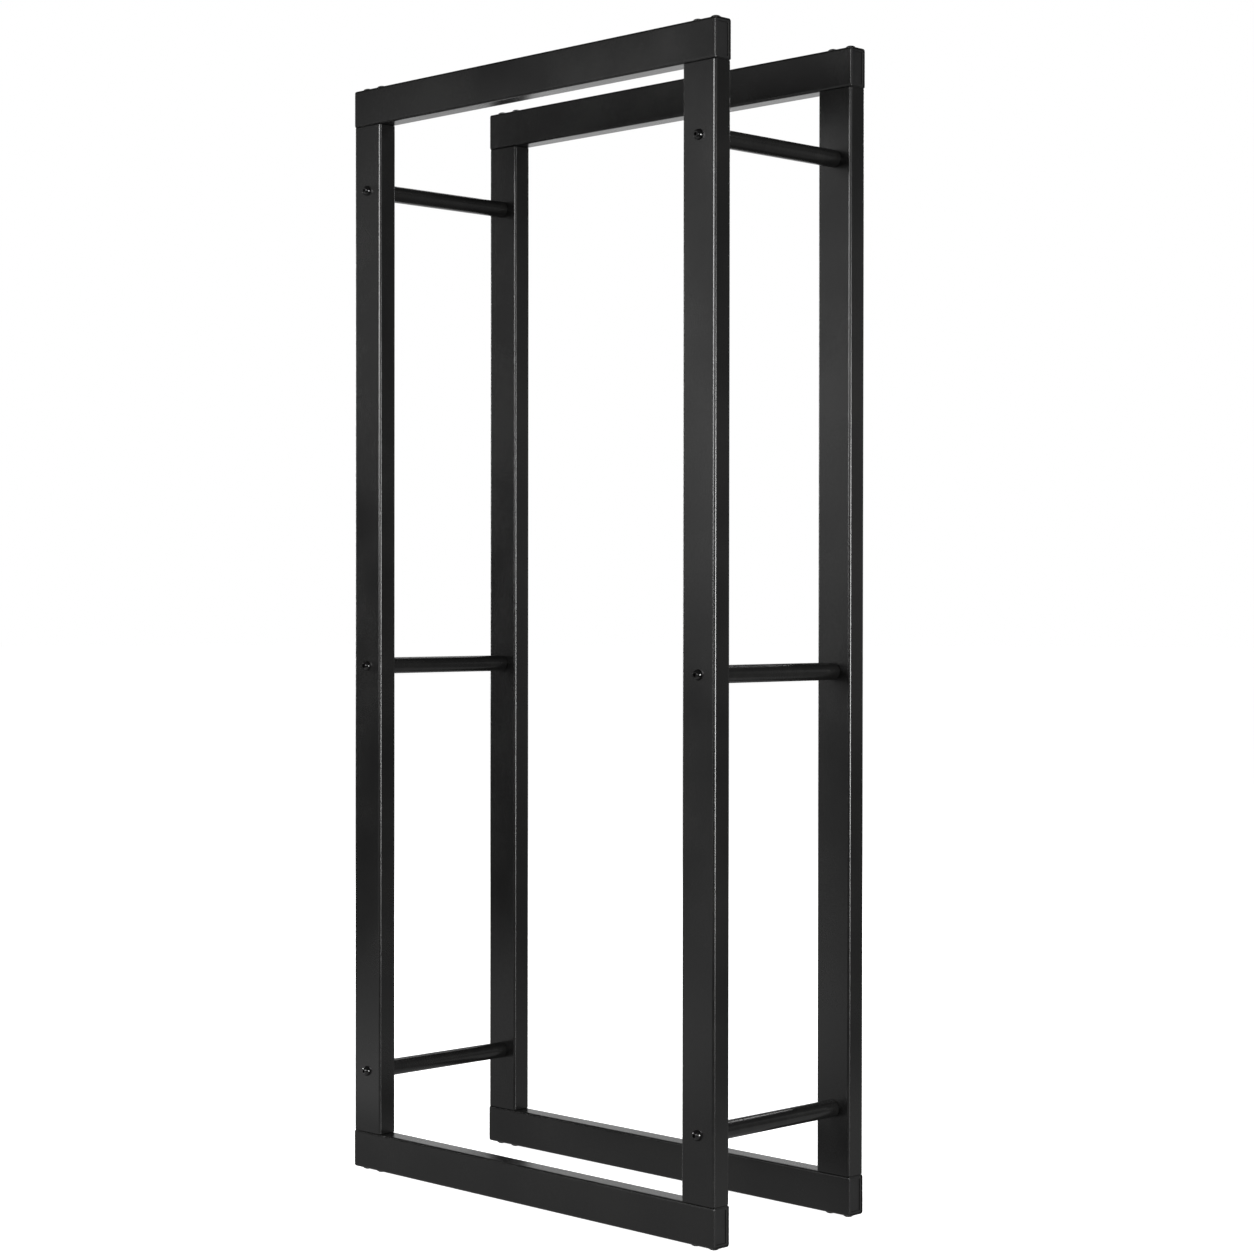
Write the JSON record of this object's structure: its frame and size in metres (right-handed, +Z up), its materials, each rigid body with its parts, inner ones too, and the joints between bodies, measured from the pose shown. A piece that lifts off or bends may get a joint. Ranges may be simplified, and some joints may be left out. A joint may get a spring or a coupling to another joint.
{
  "type": "firewood log rack",
  "caption": "Tall open rack for stacked firewood: two upright rectangular tube frames held apart by round crossbars and bolted together.",
  "frame": {"origin": "on the floor under the middle of the rack, in the plane of the crowns of the screws it stands on", "axes": "+Z up; +X to the right seen from the front, along the rails; the front frame is on the -Y side and the crossbars run along Y"},
  "size_m": [0.6, 0.2608, 1.3266],
  "materials": {
    "black_powder_coat": "satin black powder coat with a fine orange peel",
    "black_screw_steel": "black oxide, slightly glossy",
    "black_plastic": "moulded, fine grain",
    "bare_steel": "zinc plated"
  },
  "bodies": {
    "root": {"back_bottom_rail": "black_powder_coat", "back_bottom_rail_left_plug": "black_plastic", "back_bottom_rail_right_plug": "black_plastic", "back_bottom_rail_screws": "black_screw_steel", "back_crossbar_screws": "black_screw_steel", "back_left_lower_nut_plate": "bare_steel", "back_left_upper_nut_plate": "bare_steel", "back_left_upright": "black_powder_coat", "back_right_lower_nut_plate": "bare_steel", "back_right_upper_nut_plate": "bare_steel", "back_right_upright": "black_powder_coat", "back_top_rail": "black_powder_coat", "back_top_rail_left_plug": "black_plastic", "back_top_rail_right_plug": "black_plastic", "back_top_rail_screws": "black_screw_steel", "front_bottom_rail": "black_powder_coat", "front_bottom_rail_left_plug": "black_plastic", "front_bottom_rail_right_plug": "black_plastic", "front_bottom_rail_screws": "black_screw_steel", "front_crossbar_screws": "black_screw_steel", "front_left_lower_nut_plate": "bare_steel", "front_left_upper_nut_plate": "bare_steel", "front_left_upright": "black_powder_coat", "front_right_lower_nut_plate": "bare_steel", "front_right_upper_nut_plate": "bare_steel", "front_right_upright": "black_powder_coat", "front_top_rail": "black_powder_coat", "front_top_rail_left_plug": "black_plastic", "front_top_rail_right_plug": "black_plastic", "front_top_rail_screws": "black_screw_steel", "left_lower_crossbar": "black_powder_coat", "left_lower_crossbar_back_insert": "bare_steel", "left_lower_crossbar_front_insert": "bare_steel", "left_middle_crossbar": "black_powder_coat", "left_middle_crossbar_back_insert": "bare_steel", "left_middle_crossbar_front_insert": "bare_steel", "left_upper_crossbar": "black_powder_coat", "left_upper_crossbar_back_insert": "bare_steel", "left_upper_crossbar_front_insert": "bare_steel", "right_lower_crossbar": "black_powder_coat", "right_lower_crossbar_back_insert": "bare_steel", "right_lower_crossbar_front_insert": "bare_steel", "right_middle_crossbar": "black_powder_coat", "right_middle_crossbar_back_insert": "bare_steel", "right_middle_crossbar_front_insert": "bare_steel", "right_upper_crossbar": "black_powder_coat", "right_upper_crossbar_back_insert": "bare_steel", "right_upper_crossbar_front_insert": "bare_steel"}
  },
  "joints": []
}
